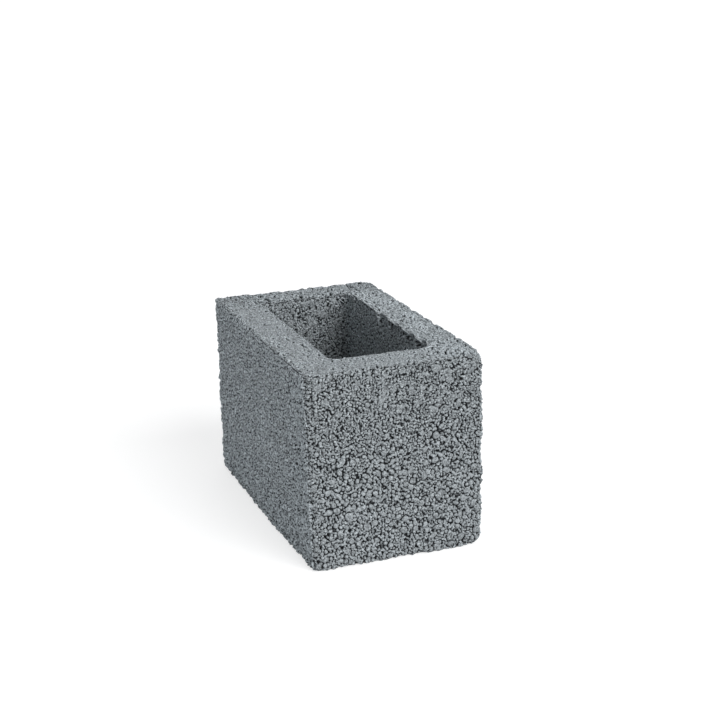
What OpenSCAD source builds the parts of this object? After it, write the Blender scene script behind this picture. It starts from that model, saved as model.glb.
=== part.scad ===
// Ventilation block of expanded-clay concrete: one casting with a single upright air duct.
// Millimetres, +Z up. The origin is the centre of the bottom bed face.
// X runs across the block, Y along it, and the duct runs through it along Z.

/* [Block] */
// Width of the block, across its two end faces
block_width = 220; // [180:5:300]
// Length of the block, along its two long faces
block_length = 380; // [300:5:500]
// Height of the block, which is one course
block_height = 240; // [150:5:330]

/* [Duct] */
// Thickness of the two long side walls, at the top of the duct
side_wall = 50; // [35:1:65]
// Thickness of the two end walls, at the top of the duct
end_wall = 50; // [35:1:80]
// Radius in the duct's upright corners, at the top of the duct
duct_radius = 10; // [6:1:20]
// Draft of the mould's core: how far each duct wall leans in from the top to the bottom
core_draft = 2; // [0:0.5:4]

/* [Edges] */
// Radius of the block's upright corners
corner_radius = 6; // [6:1:16]
// Radius of the worn arrises round the two bed faces
arris_radius = 4; // [2:0.5:5]
// Radius of the worn arrises round the duct's two mouths
mouth_radius = 3; // [1:0.5:5]

/* [Hidden] */
$fn = 96;

concrete_grey = "#7d8386";

// The duct's size between its upright walls, at the top
duct_width = block_width - 2 * side_wall;
duct_length = block_length - 2 * end_wall;
// How far the duct's cutter runs past each bed face
cut_past = 1;

// One quarter of a disc, in the corner that the two signs name
module quarter_disc(radius, sign_x, sign_y) {
    intersection() {
        circle(radius);
        scale(radius) polygon([[0, 0], [sign_x, 0], [sign_x, sign_y], [0, sign_y]]);
    }
}

// Sweeps a section round a rectangle and fills the middle.
// The section's x runs outwards from the rectangle's edge and its y runs up from bottom to top.
module sweep_round(width, length, bottom, top) {
    translate([-width / 2, -length / 2, bottom])
        cube([width, length, top - bottom]);
    for (side = [0 : 3]) {
        reach = side % 2 == 0 ? width / 2 : length / 2;
        run = side % 2 == 0 ? length : width;
        rotate([0, 0, 90 * side])
            translate([reach, 0, 0])
                rotate([90, 0, 0])
                    linear_extrude(run, center = true)
                        children();
        rotate([0, 0, 90 * side])
            translate([reach, run / 2, 0])
                rotate_extrude(angle = 90)
                    children();
    }
}

// Section of the block's outside: an upright face with a worn arris at each bed face
module face_section() {
    inner = corner_radius - arris_radius;
    square([inner, block_height]);
    translate([0, arris_radius])
        square([corner_radius, block_height - 2 * arris_radius]);
    translate([inner, arris_radius])
        quarter_disc(arris_radius, 1, -1);
    translate([inner, block_height - arris_radius])
        quarter_disc(arris_radius, 1, 1);
}

// Section of the duct's cutter: a wall with draft, flaring at each mouth
module duct_section() {
    bottom_radius = duct_radius - core_draft;
    upper = block_height - mouth_radius;
    polygon([[0, mouth_radius], [bottom_radius, mouth_radius], [duct_radius, upper], [0, upper]]);
    translate([0, -cut_past])
        mouth_section(bottom_radius, cut_past + mouth_radius);
    translate([0, upper])
        mouth_section(duct_radius, 0);
}

// Section of one mouth: it rounds outwards from the wall, about a centre at the given height
module mouth_section(wall, centre) {
    difference() {
        square([wall + mouth_radius, cut_past + mouth_radius]);
        translate([wall + mouth_radius, centre])
            circle(mouth_radius);
    }
}

// The block: the outside swept round its corner centres, less the duct
module vent_block() {
    color(concrete_grey)
        difference() {
            sweep_round(block_width - 2 * corner_radius, block_length - 2 * corner_radius,
                        0, block_height)
                face_section();
            sweep_round(duct_width - 2 * duct_radius, duct_length - 2 * duct_radius,
                        -cut_past, block_height + cut_past)
                duct_section();
        }
}

vent_block();
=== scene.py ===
import math
from itertools import product

import bpy
import numpy as np
from mathutils import Euler, Matrix, Vector


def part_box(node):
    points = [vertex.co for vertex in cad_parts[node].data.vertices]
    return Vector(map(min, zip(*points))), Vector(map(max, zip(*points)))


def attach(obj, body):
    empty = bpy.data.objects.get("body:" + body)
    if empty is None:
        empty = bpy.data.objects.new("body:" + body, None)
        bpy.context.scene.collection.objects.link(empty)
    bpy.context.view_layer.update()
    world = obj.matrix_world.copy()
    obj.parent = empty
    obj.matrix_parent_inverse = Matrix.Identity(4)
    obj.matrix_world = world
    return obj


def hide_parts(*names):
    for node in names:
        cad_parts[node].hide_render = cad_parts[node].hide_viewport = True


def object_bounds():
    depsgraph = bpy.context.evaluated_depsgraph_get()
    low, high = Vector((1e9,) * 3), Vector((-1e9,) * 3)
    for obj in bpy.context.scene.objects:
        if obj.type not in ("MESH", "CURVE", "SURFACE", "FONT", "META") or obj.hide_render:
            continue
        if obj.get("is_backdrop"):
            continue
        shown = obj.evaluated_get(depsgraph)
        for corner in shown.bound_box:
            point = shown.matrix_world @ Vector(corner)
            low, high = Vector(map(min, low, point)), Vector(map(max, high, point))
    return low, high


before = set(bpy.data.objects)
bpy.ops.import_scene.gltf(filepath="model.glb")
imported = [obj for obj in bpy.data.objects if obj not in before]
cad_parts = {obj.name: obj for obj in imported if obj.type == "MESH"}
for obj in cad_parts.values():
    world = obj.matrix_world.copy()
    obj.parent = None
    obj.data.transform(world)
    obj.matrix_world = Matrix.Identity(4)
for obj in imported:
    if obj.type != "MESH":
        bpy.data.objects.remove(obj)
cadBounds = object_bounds()

mm = 0.001         # the surface is worked out in millimetres and its meshes are made in metres
squareCm = 100     # square millimetres
plenty = 99.0      # millimetres, more than any granule or gap measures
tiny = 0.001
low, high = (np.array(corner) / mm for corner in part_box("vent_block"))

block = {
    "wall": 50.0,         # thickness all round the duct, at its top
    "draft": 2.0,         # each duct wall leans in by this much at the bottom
    "ductRadius": 10.0,   # upright corners of the duct, at its top
    "mouthRadius": 1.2,   # worn edge round the duct's two mouths
    "edgeRadius": 1.2,    # worn edges and corners outside
    "turnIn": 8.0,        # this near an edge, granules begin to face out of the corner
    "squareFrom": 15.0,   # the beds' grids follow the mouth's round corners, less and less up to here
    "wave": 0.6,          # how far the moulded faces wander from flat
    "wearSeed": 7,
    "granuleSeed": 100,   # of the first face, and one more for each that follows
}
worn = [                  # right, back and top are 1, left, front and bottom are -1, all along is 0
    {"at": (-1, -1, 0), "radius": 6.0},
    {"at": (-1, 0, 1), "radius": 4.0},
    {"at": (-1, -1, -1), "radius": 3.0},
    {"at": (1, -1, -1), "radius": 12.0},
    {"at": (1, -1, 1), "radius": 11.0},
    {"at": (1, 1, 1), "radius": 8.0},
    {"at": (1, 1, -1), "radius": 6.0},
    {"at": (-1, 1, -1), "radius": 5.0},
    {"at": (-1, 1, 1), "radius": 4.0},
]
wornFade = 1.6            # the wear ends at this many of its radii
ductHalf = high[:2] - block["wall"]             # half the duct's width and length, at its top
ductCore = ductHalf - block["ductRadius"]       # to the centres of the duct's corners


# Small helpers

def smooth(x):
    x = np.clip(x, 0, 1)
    return x * x * (3 - 2 * x)


def between(first, last, share):
    return first + (last - first) * share


def lengthOf(vectors):
    return np.linalg.norm(vectors, axis=-1, keepdims=True)


def evenLines(stops, spacing):
    # grid lines that pass through every stop, about spacing apart
    lines = [np.linspace(a, b, max(2, round((b - a) / spacing)), endpoint=False)
             for a, b in zip(stops, stops[1:])]
    return np.concatenate(lines + [[stops[-1]]])


# Soft noise, which makes everything uneven

noises = {                # millimetres from hump to hump, and the seed
    "wave": (38.0, 71),
    "lost": (9.0, 55),        # granules come away in patches this wide
    "lumps": (6.5, 53),       # granules are bound in lumps, with loose ones between
    "bend": (5.0, 31),        # granules are out of round
    "crumple": (2.3, 41),
    "paste": (4.0, 51),
    "pits": (2.1, 52),
    "holes": (3.4, 52),       # larger, where granules have come out of an open bed
    "grit": (1.7, 61),
    "chips": (4.5, 81),
    "biteEnds": (5.0, 81),
    "biteDepth": (3.2, 82),
}
noiseTilt = np.array(Euler((0.6, 0.5, 0.9)).to_matrix())  # so that humps never line up with a face
noiseShift = 500.0        # keeps the numbers of all cells above nothing
noiseValues = 4096        # a power of two


def softNoise(points, size, seed):
    # smooth random values from -1 to 1
    cell = points @ noiseTilt / size + noiseShift
    base = np.floor(cell).astype(np.int64)
    part = smooth(cell - base)
    table = np.random.default_rng(seed).uniform(-1, 1, noiseValues)
    total = np.zeros(len(points))
    for corner in product((0, 1), repeat=3):
        x, y, z = (base + corner).T
        mixed = (x * 73856093) ^ (y * 19349663) ^ (z * 83492791)  # large primes shuffle the cells
        weight = np.where(corner, part, 1 - part).prod(axis=1)
        total += weight * table[(mixed ^ (mixed >> 11)) & (noiseValues - 1)]
    return total


# The block that the granules lie in: flat faces, worn edges, a duct with draft. Each surface gives
# the places of its points and which way is outward there

def ductReach(z):
    # radius of the duct's corners at a height, which is also how far its walls lie from the core
    return block["ductRadius"] - block["draft"] * (high[2] - z) / (high[2] - low[2])


def edgeRadius(flat):
    # radius of the outer edges, larger at the edges and corners that have worn round
    radius = np.full((len(flat), 1), block["edgeRadius"])
    for spot in worn:
        at = np.array(spot["at"])
        away = lengthOf(np.where(at == 0, 0, flat - np.where(at > 0, high, low)))
        more = (spot["radius"] - block["edgeRadius"]) * smooth(wornFade - away / spot["radius"])
        radius = np.maximum(radius, block["edgeRadius"] + more)
    return radius


def roundedBox(flat, radius):
    inner = np.clip(flat, low + radius, high - radius)
    facing = (flat - inner) / lengthOf(flat - inner)
    return inner + radius * facing, facing


def outerSurface(flat):
    points = roundedBox(flat, edgeRadius(flat))[0]
    outward = roundedBox(flat, block["turnIn"])[1]
    return points, outward


mouthBites = {            # pieces broken out of the right edge of the upper mouth
    "spans": ((122.0, 30.0, 5.5), (30.0, -10.0, 9.0), (-10.0, -59.0, 8.0),
              (-59.0, -96.0, 9.0), (-96.0, -137.0, 10.0)),  # from, to and how deep
    "blunt": 0.2,         # share of its length in which a bite comes to its full depth
    "taper": 0.7,         # power by which it runs out again
    "endsWander": 2.5,    # millimetres along the edge
    "depthWanders": 0.5,  # share of the depth
    "fade": 26.0,         # how far from the edge it ends
}


def mouthBite(points):
    x, y, z = points.T
    blunt, taper = mouthBites["blunt"], mouthBites["taper"]
    ragged = y + mouthBites["endsWander"] * softNoise(points, *noises["biteEnds"])
    back = np.zeros(len(points))
    for start, end, deep in mouthBites["spans"]:
        along = np.clip((start - ragged) / (start - end), 0, 1)
        back = np.maximum(back, deep * smooth(along / blunt) * (1 - along) ** taper)
    uneven = 1 + mouthBites["depthWanders"] * softNoise(points, *noises["biteDepth"])
    away = np.hypot(x - ductHalf[0], z - high[2])
    return back * uneven * smooth(1 - away / mouthBites["fade"])


def awayFromDuct(flat):
    heart = np.clip(flat[:, :2], -ductCore, ductCore)
    return heart, flat[:, :2] - heart


def ductSurface(flat):
    radius, turnIn = block["mouthRadius"], block["turnIn"]
    heart, away = awayFromDuct(flat)
    away = away / lengthOf(away)
    z = flat[:, 2]
    facing = np.where(z > high[2] / 2, 1, -1)
    bed = np.where(facing > 0, high[2], low[2])
    bend = np.clip(radius - np.abs(bed - z), 0, None)
    slant = np.hypot(radius, bend)
    reach = ductReach(z) + radius - radius * radius / slant
    height = np.where(bend > 0, bed - facing * (radius - radius * bend / slant), z)
    points = np.column_stack([heart + away * reach[:, None], height])
    points[:, 0] += mouthBite(points)
    turn = np.clip(turnIn - np.abs(bed - z), 0, None)
    outward = np.column_stack([-away * turnIn, facing * turn])
    return points, outward / lengthOf(outward)


def bedSurface(flat):
    radius, turnIn = block["mouthRadius"], block["turnIn"]
    points, outward = outerSurface(flat)
    facing = 1 if flat[0, 2] > high[2] / 2 else -1
    corner = ductReach(flat[0, 2])
    heart, away = awayFromDuct(points)
    square = np.abs(away).max(axis=1, keepdims=True)
    long = np.maximum(lengthOf(away), tiny)
    rounding = 1 - smooth((square - corner) / block["squareFrom"])
    away = away * (1 + rounding * (square / long - 1))
    long = np.maximum(lengthOf(away), tiny)
    away = away / long
    past = long[:, 0] - corner
    bend = np.clip(radius - past, 0, None)
    slant = np.hypot(radius, bend)
    reach = np.where(bend > 0, corner + radius - radius * bend / slant, long[:, 0])
    points[:, :2] = heart + away * reach[:, None]
    points[:, 2] -= facing * (radius - radius * radius / slant)
    points[:, 0] += mouthBite(points)
    turn = np.clip(turnIn - past, 0, None)
    mouth = np.column_stack([-away * turn[:, None], np.full(len(away), facing * turnIn)])
    outward[turn > 0] = (mouth / lengthOf(mouth))[turn > 0]
    return points, outward


# Granules, largest first: how many are tried on a square centimetre, what share of them is kept at the
# top and at the bottom of the face, how much deeper they are sunk, and how dark or light they are

endGranules = [
    {"radius": (4.0, 5.6), "tries": 0.3, "top": 0.0, "bottom": 0.6, "sunk": -0.6, "tone": (0.0, 0.5)},
    {"radius": (2.6, 3.8), "tries": 2.4, "top": 0.0, "bottom": 0.7, "sunk": -0.5, "tone": (0.1, 0.6)},
    {"radius": (1.8, 2.5), "tries": 5.0, "top": 0.1, "bottom": 0.8, "sunk": -0.2, "tone": (0.1, 0.8)},
    {"radius": (1.2, 1.6), "tries": 60.0, "top": 0.2, "bottom": 1.0, "sunk": 0.0, "tone": (0.0, 1.0)},
    {"radius": (0.9, 1.2), "tries": 120.0, "top": 1.0, "bottom": 1.0, "sunk": 0.2, "tone": (0.0, 1.0)},
]
sideGranules = [
    {"radius": (1.9, 2.6), "tries": 3.0, "top": 0.5, "bottom": 1.0, "sunk": 0.0, "tone": (0.0, 1.0)},
    {"radius": (1.2, 1.7), "tries": 80.0, "top": 1.0, "bottom": 1.0, "sunk": 0.0, "tone": (0.0, 1.0)},
]
bedGranules = [
    {"radius": (2.0, 3.0), "tries": 5.0, "top": 0.8, "bottom": 0.2, "sunk": 0.0, "tone": (0.0, 0.8)},
    {"radius": (1.2, 1.7), "tries": 80.0, "top": 1.0, "bottom": 1.0, "sunk": 0.0, "tone": (0.0, 1.0)},
]
ductGranules = [
    {"radius": (1.8, 2.8), "tries": 5.0, "top": 0.2, "bottom": 0.8, "sunk": 0.0, "tone": (0.0, 0.8)},
    {"radius": (0.95, 1.35), "tries": 130.0, "top": 1.0, "bottom": 1.0, "sunk": 0.0, "tone": (0.0, 1.0)},
]

# Finishes. Sides in open, filled and the painted shade bands are an axis, which end of it, and how wide a
# strip is meant, and filled and the painted shade bands also have how much

endFinish = {
    "granules": endGranules,
    "packing": 0.86,          # below 1, neighbours crowd into each other
    "rise": (-1.7, 0.4),      # how far granules stand out of the face
    "missing": 0.18,          # share of them that has come away
    "backing": 12.0,          # granules of a second layer on a square centimetre, seen between the first
    "margin": 0.0,            # no granules this near the face's edges
    "paste": (3.0, 5.0),      # how far down the cement stands, where the face is closed and where open
    "open": [],
    "filled": [(2, 1, 80.0, 0.4)],  # here the cement stands higher
    "loose": 0.5,             # how much of the face is open between lumps
    "pits": 0.0,              # how deep
    "holes": 0.0,             # how deep where the face is open
    "flatness": 0.30,         # how gently the mould has pressed the granules flat
    "grit": 0.22,             # how deep
    "relief": 0.8,            # this far above what lies round it gets the full painted highlight, this far below the full painted shade
    "paintedShadeBands": [],               # painted shade: here granules are painted darker, or painted lighter if the amount is below nothing
    "material": "openConcrete",
}
sideFinish = dict(endFinish, granules=sideGranules, packing=0.88, rise=(-1.3, 0.3), missing=0.06,
                  backing=0.0, margin=2.5, paste=(1.9, 3.2), filled=[], loose=0.0, pits=1.6,
                  flatness=0.25, grit=0.45, relief=0.6, material="closeConcrete")
bedFinish = dict(sideFinish, granules=bedGranules, packing=0.92, rise=(-1.6, 0.3), missing=0.10,
                 margin=0.0, paste=(0.9, 1.5), pits=2.4, holes=3.5)
ductFinish = dict(sideFinish, paste=(1.6, 2.0))
coarseDuctFinish = dict(endFinish, granules=ductGranules, rise=(-1.6, 0.4), missing=0.12,
                        paste=(1.9, 3.0), filled=[(2, 1, 80.0, 0.1)], grit=0.4)

# Faces: across and up are the axes of a face's grid, side is the end of the third axis that it lies on

faces = {
    "bottom_bed": dict(bedFinish, shape="bed", across=0, up=1, side=-1, spacing=2.0),
    "back_face": dict(endFinish, shape="outer", across=0, up=2, side=1, spacing=1.1),
    "right_face": dict(sideFinish, shape="outer", across=1, up=2, side=1, spacing=1.15),
    "duct_front_wall": dict(coarseDuctFinish, shape="duct", across=0, up=2, side=-1, spacing=1.5),
    "duct_left_wall": dict(ductFinish, shape="duct", across=1, up=2, side=-1, spacing=1.5),
    # painted light: the duct's right wall is painted lighter all over
    "duct_right_wall": dict(ductFinish, shape="duct", across=1, up=2, side=1, spacing=1.3,
                            paintedShadeBands=[(2, 1, 500.0, -0.20)]),
    # painted shade: the duct's back wall is painted darker the deeper it lies
    "duct_back_wall": dict(coarseDuctFinish, shape="duct", across=0, up=2, side=1, spacing=1.05,
                           paintedShadeBands=[(2, -1, 200.0, 0.60)]),
    # painted shade along the bottom of the left face
    "left_face": dict(sideFinish, shape="outer", across=1, up=2, side=-1, spacing=1.0,
                      open=[(1, -1, 60.0), (2, -1, 50.0)], paintedShadeBands=[(2, -1, 14.0, 0.25)]),
    # painted shade towards the back and the left of the top bed
    "top_bed": dict(bedFinish, shape="bed", across=0, up=1, side=1, spacing=0.85,
                    open=[(0, 1, 60.0), (1, 1, 60.0)], paintedShadeBands=[(1, 1, 55.0, 0.30), (0, -1, 50.0, 0.10)]),
    # painted shade along the bottom and the left edge of the front face
    "front_face": dict(endFinish, shape="outer", across=0, up=2, side=-1, spacing=0.75,
                       paintedShadeBands=[(2, -1, 8.0, 0.5), (0, -1, 10.0, 0.3)]),
}


def layOutGrid(face):
    # grid lines of a face, in millimetres along its two axes
    across, up, spacing = face["across"], face["up"], face["spacing"]
    face["fixed"] = 3 - across - up
    stops = {axis: [low[axis], high[axis]] for axis in (across, up)}
    if face["shape"] == "bed":
        z = high[2] if face["side"] > 0 else low[2]
        half = ductCore + ductReach(z)
        stops = {axis: [low[axis], -half[axis], half[axis], high[axis]] for axis in (across, up)}
    if face["shape"] == "duct":
        stops[across] = [-ductHalf[across], ductHalf[across]]
    face["stopsA"], face["stopsB"] = stops[across], stops[up]
    face["a"], face["b"] = evenLines(stops[across], spacing), evenLines(stops[up], spacing)


def flatPoints(face, a, b):
    # places on the face before its edges are rounded
    flat = np.zeros((len(a), 3))
    flat[:, face["across"]], flat[:, face["up"]] = a, b
    fixed = face["fixed"]
    if face["shape"] == "duct":
        half = ductCore + ductReach(b)[:, None]
        flat[:, fixed] = face["side"] * half[:, fixed]
        flat[:, face["across"]] *= half[:, face["across"]] / ductHalf[face["across"]]
    else:
        flat[:, fixed] = high[fixed] if face["side"] > 0 else low[fixed]
    return flat


surfaces = {"outer": outerSurface, "duct": ductSurface, "bed": bedSurface}


def surfaceOf(face, a, b):
    flat = flatPoints(face, a, b)
    points, outward = surfaces[face["shape"]](flat)
    return flat, points, outward


def edgeDistance(face, a, b):
    stopsA, stopsB = face["stopsA"], face["stopsB"]
    inside = np.minimum.reduce([a - stopsA[0], stopsA[-1] - a, b - stopsB[0], stopsB[-1] - b])
    if face["shape"] == "bed":
        pastMouth = np.maximum(np.abs(a) - stopsA[2], np.abs(b) - stopsB[2])
        inside = np.minimum(inside, pastMouth)
    return inside


# Granules are dropped at random, largest first, wherever there is still room for one

outOfRound = {"stretch": (0.6, 0.95), "bend": 0.7, "crumple": 0.28}
scatter = {
    "cell": 0.5,              # fineness of the map of what room is left
    "patches": (0.35, 45.0),  # sizes also keep together in patches: how much, and how wide these are
    "change": (0.3, 0.5),     # share of the height where bottom gives way to top, and over how much
    "backRadius": (1.2, 2.4),
    "backDepth": (2.0, 4.0),
    "lostPatches": 1.6,       # how unevenly granules have come away
    "lostDepth": 3.4,         # where one has, what is behind it lies this much lower
}


def scatterGranules(face):
    rng, cell = np.random.default_rng(face["seed"]), scatter["cell"]
    stopsA, stopsB = face["stopsA"], face["stopsB"]
    wide, tall = stopsA[-1] - stopsA[0], stopsB[-1] - stopsB[0]
    room = np.full((int(tall / cell) + 1, int(wide / cell) + 1), plenty)  # largest radius that still fits
    packing, placed = face["packing"], []
    patchy, patchSize = scatter["patches"]
    start, over = scatter["change"]
    for size in face["granules"]:
        tries = int(size["tries"] * wide * tall / squareCm)
        a, b = rng.uniform(0, wide, tries), rng.uniform(0, tall, tries)
        radius, luck = rng.uniform(*size["radius"], tries), rng.random(tries)
        patch = patchy * softNoise(np.column_stack([a, b, np.zeros(tries)]), patchSize, face["seed"])
        share = between(size["bottom"], size["top"], smooth((b / tall - start) / over))
        wanted = luck < share + patch * (size["bottom"] - size["top"])
        for x, y, r in zip(a[wanted], b[wanted], radius[wanted]):
            row, col = int(y / cell), int(x / cell)
            if room[row, col] < r:
                continue
            placed.append((x, y, r, size["sunk"], rng.uniform(*size["tone"])))
            reach = int(packing * (r + size["radius"][1]) / cell) + 1
            top, left = max(row - reach, 0), max(col - reach, 0)
            near = room[top:row + reach + 1, left:col + reach + 1]
            dy = (np.arange(top, top + near.shape[0]) + 0.5) * cell - y
            dx = (np.arange(left, left + near.shape[1]) + 0.5) * cell - x
            np.minimum(near, np.sqrt(dy[:, None] ** 2 + dx ** 2) / packing - r, out=near)
    behind = int(face["backing"] * wide * tall / squareCm)
    deeper = [rng.uniform(0, wide, behind), rng.uniform(0, tall, behind),
              rng.uniform(*scatter["backRadius"], behind), rng.uniform(*scatter["backDepth"], behind),
              rng.uniform(0, 1, behind)]
    x, y, radius, lower, tone = np.concatenate([np.array(placed).T, deeper], axis=1)
    a, b = x + stopsA[0], y + stopsB[0]
    solid = edgeDistance(face, a, b) > face["margin"]
    a, b, radius, lower, tone = (values[solid] for values in (a, b, radius, lower, tone))
    points, outward = surfaceOf(face, a, b)[1:]
    count = len(radius)
    uneven = 1 + scatter["lostPatches"] * softNoise(points, *noises["lost"])
    lost = rng.random(count) < face["missing"] * uneven
    sink = radius - rng.uniform(*face["rise"], count) + lower + np.where(lost, scatter["lostDepth"], 0)
    axis = rng.normal(size=(count, 3))
    return {"centre": points - outward * sink[:, None], "radius": radius, "tone": tone,
            "axis": axis / lengthOf(axis), "squeeze": rng.uniform(*outOfRound["stretch"], count) - 1}


search = {                # which granules are tried where
    "depth": 14.0,        # from the plane of the face to their centres
    "beyond": 9.0,        # those of the faces next to it, this far past its edges
    "edgeBand": 14.0,     # near an edge there is more slack, because outward turns there
    "edgeSlack": 5.0,
    "slack": 2.0,         # room for what is bent
    "longest": 1.3,       # how far a granule reaches, in radii
    "closest": 0.9,       # grid lines can be this much closer than their spacing
    "atOnce": 1000000,    # lines tried in one go
}


def granuleHeights(face, points, outward, granules):
    # height of the outermost granule along each outward line, and which granule it is
    across, up, fixed = face["across"], face["up"], face["fixed"]
    columns, rows = len(face["a"]), len(face["b"])
    centres = granules["centre"]
    plane = flatPoints(face, np.zeros(1), np.full(1, face["b"][-1]))[0, fixed]
    toEdge = np.full(len(centres), plenty)
    for axis, lines in ((across, face["a"]), (up, face["b"])):
        toEdge = np.minimum(toEdge, np.minimum(centres[:, axis] - lines[0], lines[-1] - centres[:, axis]))
    isNear = np.abs(centres[:, fixed] - plane) < search["depth"]
    chosen = np.flatnonzero(isNear & (toEdge > -search["beyond"]))
    column = np.searchsorted(face["a"], centres[chosen, across])
    row = np.searchsorted(face["b"], centres[chosen, up])
    slack = np.where(toEdge[chosen] < search["edgeBand"], search["edgeSlack"], search["slack"])
    widest = search["longest"] * granules["radius"][chosen] + slack
    window = np.ceil(widest / (face["spacing"] * search["closest"])).astype(int)
    height = np.full(rows * columns, -plenty)
    winner = np.zeros(rows * columns, int)
    for reach in np.unique(window):
        group = np.flatnonzero(window == reach)
        step = np.arange(-reach, reach + 1)
        for part in np.array_split(group, max(1, len(group) * len(step) ** 2 // search["atOnce"])):
            r = np.clip(row[part][:, None, None] + step[:, None], 0, rows - 1)
            c = np.clip(column[part][:, None, None] + step, 0, columns - 1)
            place = (r * columns + c).reshape(len(part), -1)
            which = np.repeat(chosen[part], place.shape[1])
            place = place.ravel()
            axis, squeeze = granules["axis"][which], granules["squeeze"][which]
            toCentre, line = centres[which] - points[place], outward[place]
            toCentre = toCentre + (squeeze * (toCentre * axis).sum(axis=1))[:, None] * axis
            line = line + (squeeze * (line * axis).sum(axis=1))[:, None] * axis
            along, long = (toCentre * line).sum(axis=1), (line ** 2).sum(axis=1)
            square = along ** 2 - long * ((toCentre ** 2).sum(axis=1) - granules["radius"][which] ** 2)
            hit = square > 0
            place, which = place[hit], which[hit]
            top = (along[hit] + np.sqrt(square[hit])) / long[hit]
            np.maximum.at(height, place, top)
            best = top >= height[place]
            winner[place[best]] = which[best]
    return height, winner


# Wear: chips along the edges

edgeChips = {"every": 14.0, "reach": (2.0, 7.0), "depth": (0.3, 2.2), "steep": 2.5}
mouthWear = {"every": 3.0, "reach": (7.0, 11.0), "depth": (2.0, 4.5), "steep": 1.5}
crumbling = {"every": 12.0, "reach": (4.0, 8.0), "depth": (0.8, 4.2), "steep": 2.5}  # both front uprights
chipRagged = 0.5   # share of its reach by which the outline of a chip wanders
chipSearch = 1.5   # what lies farther from a chip than this many reaches isn't touched
deepest = 6.5      # nothing is worn or sunk further than this


def chipsAlong(start, end, chips, rng):
    start, end = np.array(start, float), np.array(end, float)
    for _ in range(int(lengthOf(end - start)[0] / chips["every"])):
        place = start + (end - start) * rng.random()
        yield place, rng.uniform(*chips["reach"]), rng.uniform(*chips["depth"]), chips["steep"]


def layOutWear(rng):
    centre, half = (low + high) / 2, (high - low) / 2
    spots = []
    for axis in range(3):
        for ends in product((-1, 1), repeat=2):
            first = np.insert(np.array(ends, float), axis, -1)
            last = np.insert(np.array(ends, float), axis, 1)
            spots += chipsAlong(centre + half * first, centre + half * last, edgeChips, rng)
    x, y = ductHalf
    spots += chipsAlong((-x, y, high[2]), (x, y, high[2]), mouthWear, rng)  # the upper mouth's back
    for upright in (low[0], high[0]):
        spots += chipsAlong((upright, low[1], low[2]), (upright, low[1], high[2]), crumbling, rng)
    return spots


def wornDepth(points, spots):
    depth = np.zeros(len(points))
    for place, reach, deep, steep in spots:
        near = np.flatnonzero((np.abs(points - place) < chipSearch * reach).all(axis=1))
        ragged = 1 + chipRagged * softNoise(points[near], *noises["chips"])
        away = np.minimum(ragged * lengthOf(points[near] - place)[:, 0] / reach, 1)
        depth[near] = np.maximum(depth[near], deep * (1 - away ** steep))
    return depth


# The mould was a little out of square at the lower front left corner

skew = {"by": 3.5, "across": 160.0, "along": 190.0, "up": 230.0}


def outOfSquare(points):
    x, y, z = (points - low).T
    share = smooth(1 - x / skew["across"]) * smooth(1 - y / skew["along"]) * smooth(1 - z / skew["up"])
    points[:, 0] += skew["by"] * share


# One face: its grid pressed onto the granules

edgeFinish = {            # along all edges, in place of the face's own finish
    "blend": 3.0,         # the face's own begins this far in
    "paste": (0.9, 2.3, 4.2),      # round the top, round the bottom and at the four upright edges
    "topBand": (20.0, 20.0),       # how far down the first of them holds, and over how much it changes
    "uprightBand": (12.0, 8.0),    # how near an upright edge the last begins, and over how much
    "pits": 0.0,
    "holes": 0.0,
    "flatness": 0.30,
    "grit": 0.40,
}
pitting = {
    "pits": 0.38,         # the higher, the fewer there are
    "holes": 0.30,
    "rim": 0.12,          # the lower, the sharper they are
    "drag": (1.0, 0.6, 1.0),       # both are drawn out along the block's length
}
lumping = {"contrast": 2.5, "middle": 0.3}   # how sharply lumps end, and how much of a face they take
pasteLevel = {"mean": 0.85, "wanders": 0.35}
levelReach = (1.2, 3.0)   # what lies round a place is judged from this near and this far
middleTone = 0.5          # of the paste, and halfway from the darkest granules to the lightest
sideFade = 1.5            # what is named for a side ends at this many of its widths


def boxBlur(values, cells):
    for axis in (0, 1):
        padded = np.pad(values, [(cells + 1, cells) if i == axis else (0, 0) for i in (0, 1)], mode="edge")
        run = np.cumsum(padded, axis=axis)
        ahead = np.take(run, range(2 * cells + 1, run.shape[axis]), axis=axis)
        behind = np.take(run, range(0, run.shape[axis] - 2 * cells - 1), axis=axis)
        values = (ahead - behind) / (2 * cells + 1)
    return values


def nearSide(points, axis, sign, width):
    inFrom = high[axis] - points[:, axis] if sign > 0 else points[:, axis] - low[axis]
    return smooth(sideFade - inFrom / width)


def openness(face, points):
    # 1 where the paste hasn't closed the face: between lumps, and near the sides named in open
    share = np.zeros(len(points))
    if face["loose"] > 0:
        lumps = softNoise(points, *noises["lumps"])
        share = smooth(lumping["contrast"] * (lumps + face["loose"] - lumping["middle"]))
    for side in face["open"]:
        share = np.maximum(share, nearSide(points, *side))
    return share


def edgePaste(points):
    # how far down the paste stands at an edge
    top, bottom, upright = edgeFinish["paste"]
    near, over = edgeFinish["uprightBand"]
    x, y = (smooth((np.abs(points[:, i]) - high[i] + near) / over) for i in (0, 1))
    down, over = edgeFinish["topBand"]
    level = between(top, bottom, smooth((high[2] - points[:, 2] - down) / over))
    return level + (upright - level) * x * y


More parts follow.
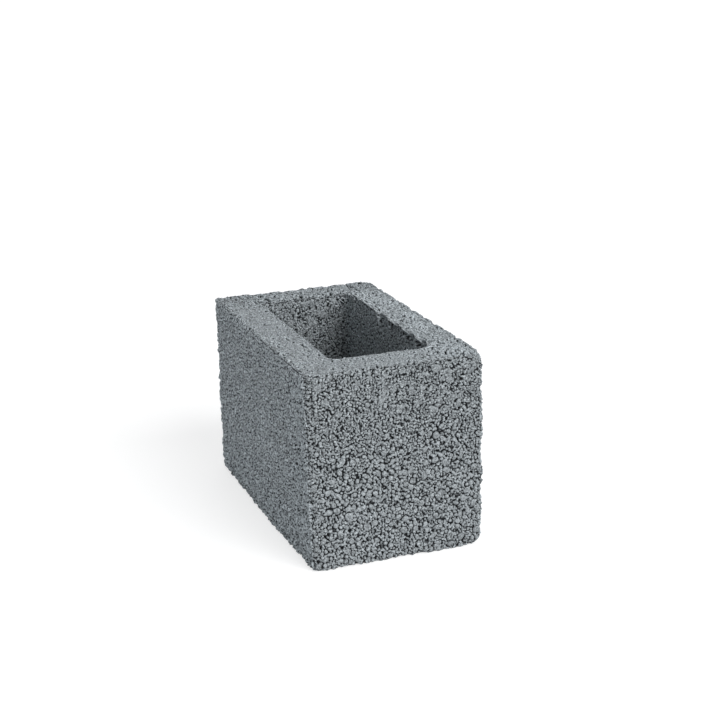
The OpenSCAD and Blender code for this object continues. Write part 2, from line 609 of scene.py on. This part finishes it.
def pressFace(face, granules, wear):
    a, b = (grid.ravel() for grid in np.meshgrid(face["a"], face["b"]))
    flat, points, outward = surfaceOf(face, a, b)
    inside = smooth(edgeDistance(face, a, b) / edgeFinish["blend"])
    share = openness(face, points)
    finish = {"paste": between(*face["paste"], share), "holes": face["holes"] * share}
    for axis, sign, width, amount in face["filled"]:
        finish["paste"] *= 1 - amount * nearSide(points, axis, sign, width)
    finish.update({key: face[key] for key in ("pits", "flatness", "grit")})
    rim = dict(edgeFinish, paste=edgePaste(points))
    finish = {key: between(rim[key], value, inside) for key, value in finish.items()}
    bent = points.copy()
    for axis in range(3):
        for kind in ("bend", "crumple"):
            size, seed = noises[kind]
            bent[:, axis] += outOfRound[kind] * softNoise(points, size, seed + axis)
    height, winner = granuleHeights(face, bent, outward, granules)
    uneven = pasteLevel["mean"] + pasteLevel["wanders"] * softNoise(points, *noises["paste"])
    paste = -finish["paste"] * uneven
    covered = height < paste
    height = np.maximum(height, paste)
    for kind in ("pits", "holes"):
        sunk = softNoise(points * pitting["drag"], *noises[kind]) - pitting[kind]
        height -= finish[kind] * smooth(sunk / pitting["rim"])
    soft = finish["flatness"]
    height = -soft * np.logaddexp(0, -height / soft)  # nothing stands out past the mould
    for depth, kind in ((finish["grit"], "grit"), (block["wave"], "wave")):
        height -= depth * (0.5 + 0.5 * softNoise(points, *noises[kind]))
    height -= wornDepth(points, wear)
    height = np.clip(height, -deepest, 0)
    sheet = height.reshape(len(face["b"]), len(face["a"]))
    blurs = [max(1, round(reach / face["spacing"])) for reach in levelReach]
    level = sum(boxBlur(sheet, cells).ravel() for cells in blurs) / len(blurs)
    face["flat"] = flat
    face["points"] = points + outward * height[:, None]
    outOfSquare(face["points"])
    face["proud"] = np.clip((height - level) / face["relief"], -1, 1)  # above or below what lies round it, which sets the painted shade and the painted highlight
    face["tone"] = np.where(covered, middleTone, granules["tone"][winner])
    # painted shade and painted light, laid into the tone in the bands each face names
    for axis, sign, width, amount in face["paintedShadeBands"]:
        face["tone"] -= amount * nearSide(points, axis, sign, width)


# Each face becomes one closed piece that reaches to the middle of its wall

mapMargin = 0.01          # a face's grid keeps this far from the sides of its map


def gridSides(face):
    # the grid's squares, and the vertex numbers along each of its sides, in the order that squares run
    columns, rows = len(face["a"]), len(face["b"])
    number = np.arange(rows * columns).reshape(rows, columns)
    loops = [(number, False)]
    used = np.ones((rows - 1, columns - 1), bool)
    if face["shape"] == "bed":
        left, right = (np.searchsorted(face["a"], stop) for stop in face["stopsA"][1:3])
        bottom, top = (np.searchsorted(face["b"], stop) for stop in face["stopsB"][1:3])
        used[bottom:top, left:right] = False
        loops.append((number[bottom:top + 1, left:right + 1], True))
    sides = []
    for patch, isHole in loops:
        ring = [patch[0], patch[:, -1], patch[-1][::-1], patch[:, 0][::-1]]
        sides += [side[::-1] for side in ring[::-1]] if isHole else ring
    squares = np.stack([number[:-1, :-1], number[:-1, 1:], number[1:, 1:], number[1:, :-1]], axis=-1)[used]
    return squares, sides


def shareSeams(face, sides, seams):
    # a side that an earlier face has already laid is taken over from it, so the pieces meet exactly
    for side in sides:
        ends = face["flat"][side[[0, -1]]]
        axis = np.argmax(np.abs(ends[1] - ends[0]))
        run = face["flat"][side, axis]
        order = np.argsort(run)
        key = tuple(np.round(ends.mean(axis=0)).astype(int))
        if key in seams:
            lines, places = seams[key]
            for i in range(3):
                face["points"][side, i] = np.interp(run, lines, places[:, i])
        else:
            seams[key] = (run[order], face["points"][side][order])


def closePiece(face, sides, firstNew):
    # flat walls from the grid's sides to the middle of the concrete behind it
    half = block["wall"] / 2
    hearts, triangles, loop = {}, [], []

    def heartOf(vertex):
        place = np.where(face["flat"][vertex] > (low + high) / 2, high - half, low + half)
        return hearts.setdefault(tuple(place), firstNew + len(hearts))

    for side in sides:
        first, last, turn = heartOf(side[0]), heartOf(side[-1]), len(side) // 2
        heart = np.where(np.arange(len(side) - 1) < turn, first, last)
        triangles += np.column_stack([side[1:], side[:-1], heart]).tolist()
        triangles.append([int(side[turn]), first, last])
        loop.append(first)
    if face["shape"] != "bed":
        triangles.append(loop[::-1])
    return np.array(list(hearts)), triangles


def makePiece(name, face, seams):
    squares, sides = gridSides(face)
    shareSeams(face, sides, seams)
    hearts, backs = closePiece(face, sides, len(face["points"]))
    used = np.unique(squares)
    renumber = np.full(len(face["points"]) + len(hearts), -1)
    renumber[used] = np.arange(len(used))
    renumber[len(face["points"]):] = len(used) + np.arange(len(hearts))
    polygons = renumber[squares].tolist() + [renumber[back].tolist() for back in backs]
    acrossUp = np.cross(np.eye(3)[face["across"]], np.eye(3)[face["up"]])[face["fixed"]]
    outward = -face["side"] if face["shape"] == "duct" else face["side"]
    if acrossUp * outward < 0:
        polygons = [polygon[::-1] for polygon in polygons]
    places = np.concatenate([face["points"][used], hearts]) * mm
    mesh = bpy.data.meshes.new(name)
    mesh.from_pydata(places.tolist(), [], polygons)
    flatShaded = np.zeros(len(polygons), bool)
    flatShaded[len(squares):] = True
    mesh.attributes.new("sharp_face", "BOOLEAN", "FACE").data.foreach_set("value", flatShaded)
    # proud sets the painted shade and painted highlight, and tone carries each granule's tone together
    # with the painted shade bands
    for key in ("proud", "tone"):
        values = np.zeros(len(places), np.float32)
        values[:len(used)] = face[key][used]
        mesh.attributes.new(key, "FLOAT", "POINT").data.foreach_set("value", values)
    grid = np.zeros((len(places), 2))
    for i, (axis, lines) in enumerate(((face["across"], face["a"]), (face["up"], face["b"]))):
        share = (face["flat"][used, axis] - lines[0]) / (lines[-1] - lines[0])
        grid[:len(used), i] = mapMargin + (1 - 2 * mapMargin) * share
    corners = np.zeros(len(mesh.loops), int)
    mesh.loops.foreach_get("vertex_index", corners)
    corners[4 * len(squares):] = len(places) - 1  # the backs take no room in the map
    mesh.uv_layers.new(name="OFBake").data.foreach_set("uv", grid[corners].ravel())
    mesh.validate()
    piece = bpy.data.objects.new(name, mesh)
    bpy.context.scene.collection.objects.link(piece)
    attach(piece, "root")
    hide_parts("vent_block")
    return piece


# Concrete: cement paste over clay granules, with painted shade down between them and a painted highlight
# on what stands proud

openLook = {
    "paste": (0.280, 0.303, 0.316),
    "paintedShade": (0.012, 0.014, 0.016),   # painted shade: the colour painted down in the gaps
    "paintedShadeReach": 0.65,       # how far down a place is that has the full painted shade
    "lift": 0.30,             # painted highlight: how much lighter what stands proud is painted
    "granuleSpread": 0.40,    # how much lightness differs from granule to granule
    "mottle": 0.16,           # strength of the clouds
    "specks": 4.2,            # strength of the grit
    "roughness": 0.92,
    "specular": 0.25,
    "bump": 0.5,
    "bumpHeight": 0.6,        # millimetres
}
# the closed faces have their own paste, painted shade and painted highlight
closeLook = dict(openLook, paste=(0.272, 0.296, 0.310), paintedShade=(0.014, 0.017, 0.019), paintedShadeReach=0.7,
                 lift=0.65, granuleSpread=0.85, mottle=0.14, specks=5.4, roughness=0.90, bump=0.6)
pasteTexture = {
    "clouds": {"Scale": 38.0, "Detail": 4.0},
    "grit": {"Scale": 620.0, "Detail": 3.0, "Roughness": 0.65},
}
pasteAndPaintedShadeColours = {"Paste": "paste", "Painted Shade": "paintedShade"}
pasteAmounts = {"Painted Shade Reach": "paintedShadeReach", "Lift": "lift", "Granule Spread": "granuleSpread",
                "Mottle": "mottle", "Specks": "specks"}


def addNode(tree, kind, x, y, **values):
    node = tree.nodes.new(kind)
    node.location = (x, y)
    for name, value in values.items():
        setattr(node, name, value)
    return node


def makePasteAndPaintedShadeGroup():
    group = bpy.data.node_groups.new("cementPasteWithPaintedShade", "ShaderNodeTree")
    for name in pasteAndPaintedShadeColours:
        group.interface.new_socket(name=name, in_out="INPUT", socket_type="NodeSocketColor")
    for name in pasteAmounts:
        group.interface.new_socket(name=name, in_out="INPUT", socket_type="NodeSocketFloat")
    group.interface.new_socket(name="Colour", in_out="OUTPUT", socket_type="NodeSocketColor")
    group.interface.new_socket(name="Grit", in_out="OUTPUT", socket_type="NodeSocketFloat")
    link = group.links.new
    given = addNode(group, "NodeGroupInput", -1100, 0)
    result = addNode(group, "NodeGroupOutput", 900, 0)
    place = addNode(group, "ShaderNodeTexCoord", -1100, -400)
    proud = addNode(group, "ShaderNodeAttribute", -900, 400, attribute_name="proud")
    tone = addNode(group, "ShaderNodeAttribute", -900, 200, attribute_name="tone")
    texture = {}
    for i, (name, values) in enumerate(pasteTexture.items()):
        texture[name] = addNode(group, "ShaderNodeTexNoise", -900, -200 - 300 * i)
        for socket, value in values.items():
            texture[name].inputs[socket].default_value = value
        link(place.outputs["Object"], texture[name].inputs["Vector"])

    # painted shade: the paste is painted darker down in the gaps
    below = addNode(group, "ShaderNodeMath", -750, 500, operation="MULTIPLY")
    below.inputs[1].default_value = -1.0
    link(proud.outputs["Fac"], below.inputs[0])
    reach = addNode(group, "ShaderNodeMapRange", -600, 400, interpolation_type="SMOOTHSTEP")
    reach.inputs["From Min"].default_value = 0.0
    link(below.outputs[0], reach.inputs["Value"])
    link(given.outputs["Painted Shade Reach"], reach.inputs["From Max"])
    shaded = addNode(group, "ShaderNodeMix", -300, 300, data_type="RGBA")
    link(reach.outputs["Result"], shaded.inputs["Factor"])
    link(given.outputs["Paste"], shaded.inputs["A"])
    link(given.outputs["Painted Shade"], shaded.inputs["B"])

    # painted highlight: what stands proud is painted lighter, and a tone for each granule (which also
    # carries each face's painted shade bands), clouds and fine specks change it too
    changes = ((proud, 0.0, "Lift"), (tone, middleTone, "Granule Spread"),
               (texture["clouds"], 0.5, "Mottle"), (texture["grit"], 0.5, "Specks"))
    lightness = None
    for i, (source, middle, amount) in enumerate(changes):
        y = 200 - 200 * i
        centred = addNode(group, "ShaderNodeMath", -600, y, operation="SUBTRACT")
        link(source.outputs["Fac"], centred.inputs[0])
        centred.inputs[1].default_value = middle
        scaled = addNode(group, "ShaderNodeMath", -400, y, operation="MULTIPLY_ADD")
        link(centred.outputs[0], scaled.inputs[0])
        link(given.outputs[amount], scaled.inputs[1])
        if lightness is None:
            scaled.inputs[2].default_value = 1.0
        else:
            link(lightness, scaled.inputs[2])
        lightness = scaled.outputs[0]
    colour = addNode(group, "ShaderNodeMix", 300, 200, data_type="RGBA", blend_type="MULTIPLY")
    colour.inputs["Factor"].default_value = 1.0
    link(shaded.outputs["Result"], colour.inputs["A"])
    link(lightness, colour.inputs["B"])
    link(colour.outputs["Result"], result.inputs["Colour"])
    link(texture["grit"].outputs["Fac"], result.inputs["Grit"])
    return group


def makeConcrete(name, look, paste):
    material = bpy.data.materials.new(name)
    material.use_nodes = True
    tree = material.node_tree
    shader = tree.nodes["Principled BSDF"]
    shader.inputs["Roughness"].default_value = look["roughness"]
    shader.inputs["Specular IOR Level"].default_value = look["specular"]
    group = addNode(tree, "ShaderNodeGroup", -500, 200, node_tree=paste)
    for socket, key in pasteAndPaintedShadeColours.items():
        group.inputs[socket].default_value = (*look[key], 1)
    for socket, key in pasteAmounts.items():
        group.inputs[socket].default_value = look[key]
    bump = addNode(tree, "ShaderNodeBump", -250, -150)
    bump.inputs["Strength"].default_value = look["bump"]
    bump.inputs["Distance"].default_value = look["bumpHeight"] * mm
    tree.links.new(group.outputs["Colour"], shader.inputs["Base Color"])
    tree.links.new(group.outputs["Grit"], bump.inputs["Height"])
    tree.links.new(bump.outputs["Normal"], shader.inputs["Normal"])
    return material


# Floor, light and camera

studio = {                 # metres and degrees
    "ambient": (0.282, 0.292, 0.301),  # even light from all round
    "lamps": {             # strength, colour, degrees across, and the azimuth and elevation it comes from
        "keyLight": (2.80, (1.0, 1.0, 1.0), 42.0, (23.0, 36.0)),
        "backLight": (0.9, (1.0, 1.0, 1.0), 40.0, (165.0, 14.0)),
    },
    "card": {"azimuth": -72.0, "away": 2.6, "height": 0.10, "size": (1.2, 0.18), "power": 18.5,
             "colour": (0.98, 1.0, 1.02)},  # low on the left, so none of its light enters the duct
    "floorSize": 60.0,
    "floorGrey": 0.45,
    "floorLift": 0.70,     # share of the floor's white that doesn't depend on the light
}
camera = {                 # metres and degrees, the lens in millimetres
    "azimuth": -19.20,
    "elevation": 19.08,
    "distance": 1.8873,
    "aimRight": 0.0217,    # the block stands left of and below the middle of the picture
    "aimUp": 0.0741,
    "lens": 74.94,
    "roll": -1.343,
}


def towards(azimuth, elevation):
    a, e = math.radians(azimuth), math.radians(elevation)
    return Vector((math.sin(a) * math.cos(e), -math.cos(a) * math.cos(e), math.sin(e)))


def seenDirectly(tree):
    # 1 for what the camera sees, also in a reflection or through glass
    path = addNode(tree, "ShaderNodeLightPath", -900, 200)
    seen = path.outputs["Is Camera Ray"]
    for i, ray in enumerate(("Is Glossy Ray", "Is Transmission Ray")):
        either = addNode(tree, "ShaderNodeMath", -700 + 180 * i, 200, operation="MAXIMUM")
        tree.links.new(seen, either.inputs[0])
        tree.links.new(path.outputs[ray], either.inputs[1])
        seen = either.outputs[0]
    return seen


def makeFloorPaper():
    material = bpy.data.materials.new("floorPaper")
    material.use_nodes = True
    tree = material.node_tree
    shader = tree.nodes["Principled BSDF"]
    shader.inputs["Base Color"].default_value = (*[studio["floorGrey"]] * 3, 1)
    shader.inputs["Roughness"].default_value = 1.0
    shader.inputs["Specular IOR Level"].default_value = 0.0
    shader.inputs["Emission Color"].default_value = (1, 1, 1, 1)
    lift = addNode(tree, "ShaderNodeMath", -300, -200, operation="MULTIPLY")
    lift.inputs[1].default_value = studio["floorLift"]
    tree.links.new(seenDirectly(tree), lift.inputs[0])
    tree.links.new(lift.outputs[0], shader.inputs["Emission Strength"])
    return material


def makeStudio():
    scene = bpy.context.scene
    scene.view_settings.view_transform = "Standard"
    world = bpy.data.worlds.new("studio")
    world.use_nodes = True
    scene.world = world
    tree = world.node_tree
    background = tree.nodes["Background"]
    around = addNode(tree, "ShaderNodeMix", -200, 200, data_type="RGBA")
    around.inputs["A"].default_value = (*studio["ambient"], 1)
    around.inputs["B"].default_value = (1, 1, 1, 1)
    tree.links.new(seenDirectly(tree), around.inputs["Factor"])
    tree.links.new(around.outputs["Result"], background.inputs["Color"])

    for name, (strength, colour, across, place) in studio["lamps"].items():
        lamp = bpy.data.objects.new(name, bpy.data.lights.new(name, "SUN"))
        lamp.data.energy = strength
        lamp.data.color = colour
        lamp.data.angle = math.radians(across)
        lamp.rotation_euler = towards(*place).to_track_quat("Z", "Y").to_euler()
        scene.collection.objects.link(lamp)

    card = studio["card"]
    lamp = bpy.data.objects.new("card", bpy.data.lights.new("card", "AREA"))
    lamp.data.shape = "RECTANGLE"
    lamp.data.size, lamp.data.size_y = card["size"]
    lamp.data.energy = card["power"]
    lamp.data.color = card["colour"]
    side = towards(card["azimuth"], 0)
    lamp.location = side * card["away"] + Vector((0, 0, card["height"]))
    lamp.rotation_euler = side.to_track_quat("Z", "Y").to_euler()
    scene.collection.objects.link(lamp)

    half = studio["floorSize"] / 2
    mesh = bpy.data.meshes.new("floor")
    corners = [(-half, -half, 0), (half, -half, 0), (half, half, 0), (-half, half, 0)]
    mesh.from_pydata(corners, [], [(0, 1, 2, 3)])
    floor = bpy.data.objects.new("floor", mesh)
    scene.collection.objects.link(floor)
    mesh.materials.append(makeFloorPaper())
    floor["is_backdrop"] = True


def makeCamera():
    scene = bpy.context.scene
    data = bpy.data.cameras.new("camera")
    data.lens = camera["lens"]
    eye = bpy.data.objects.new("camera", data)
    scene.collection.objects.link(eye)
    centre = Vector((low + high) / 2) * mm
    back = towards(camera["azimuth"], camera["elevation"])
    right = Vector((0, 0, 1)).cross(back).normalized()
    aim = centre + right * camera["aimRight"] + Vector((0, 0, camera["aimUp"]))
    place = centre + back * camera["distance"]
    turn = (place - aim).to_track_quat("Z", "Y").to_matrix().to_4x4()
    roll = Matrix.Rotation(math.radians(camera["roll"]), 4, "Z")
    eye.matrix_world = Matrix.Translation(place) @ turn @ roll
    scene.camera = eye


makeCamera()
makeStudio()
print("camera, light and floor are in place")

wear = layOutWear(np.random.default_rng(block["wearSeed"]))
scattered = []
for i, (name, face) in enumerate(faces.items()):
    face["seed"] = block["granuleSeed"] + i
    layOutGrid(face)
    scattered.append(scatterGranules(face))
    print(name, len(scattered[-1]["radius"]), "granules")
granules = {key: np.concatenate([part[key] for part in scattered]) for key in scattered[0]}

paste = makePasteAndPaintedShadeGroup()
concretes = {"openConcrete": makeConcrete("openConcrete", openLook, paste),
             "closeConcrete": makeConcrete("closeConcrete", closeLook, paste)}
seams, total = {}, 0
for name, face in faces.items():
    pressFace(face, granules, wear)
    piece = makePiece(name, face, seams)
    piece.data.materials.append(concretes[face["material"]])
    triangles = sum(len(polygon.vertices) - 2 for polygon in piece.data.polygons)
    total += triangles
    print(name, triangles, "triangles")
print("block:", total, "triangles")

bpy.context.view_layer.update()
boxes = {"cad": cadBounds, "visual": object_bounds()}
{name: [list(corner) for corner in box] for name, box in boxes.items()}
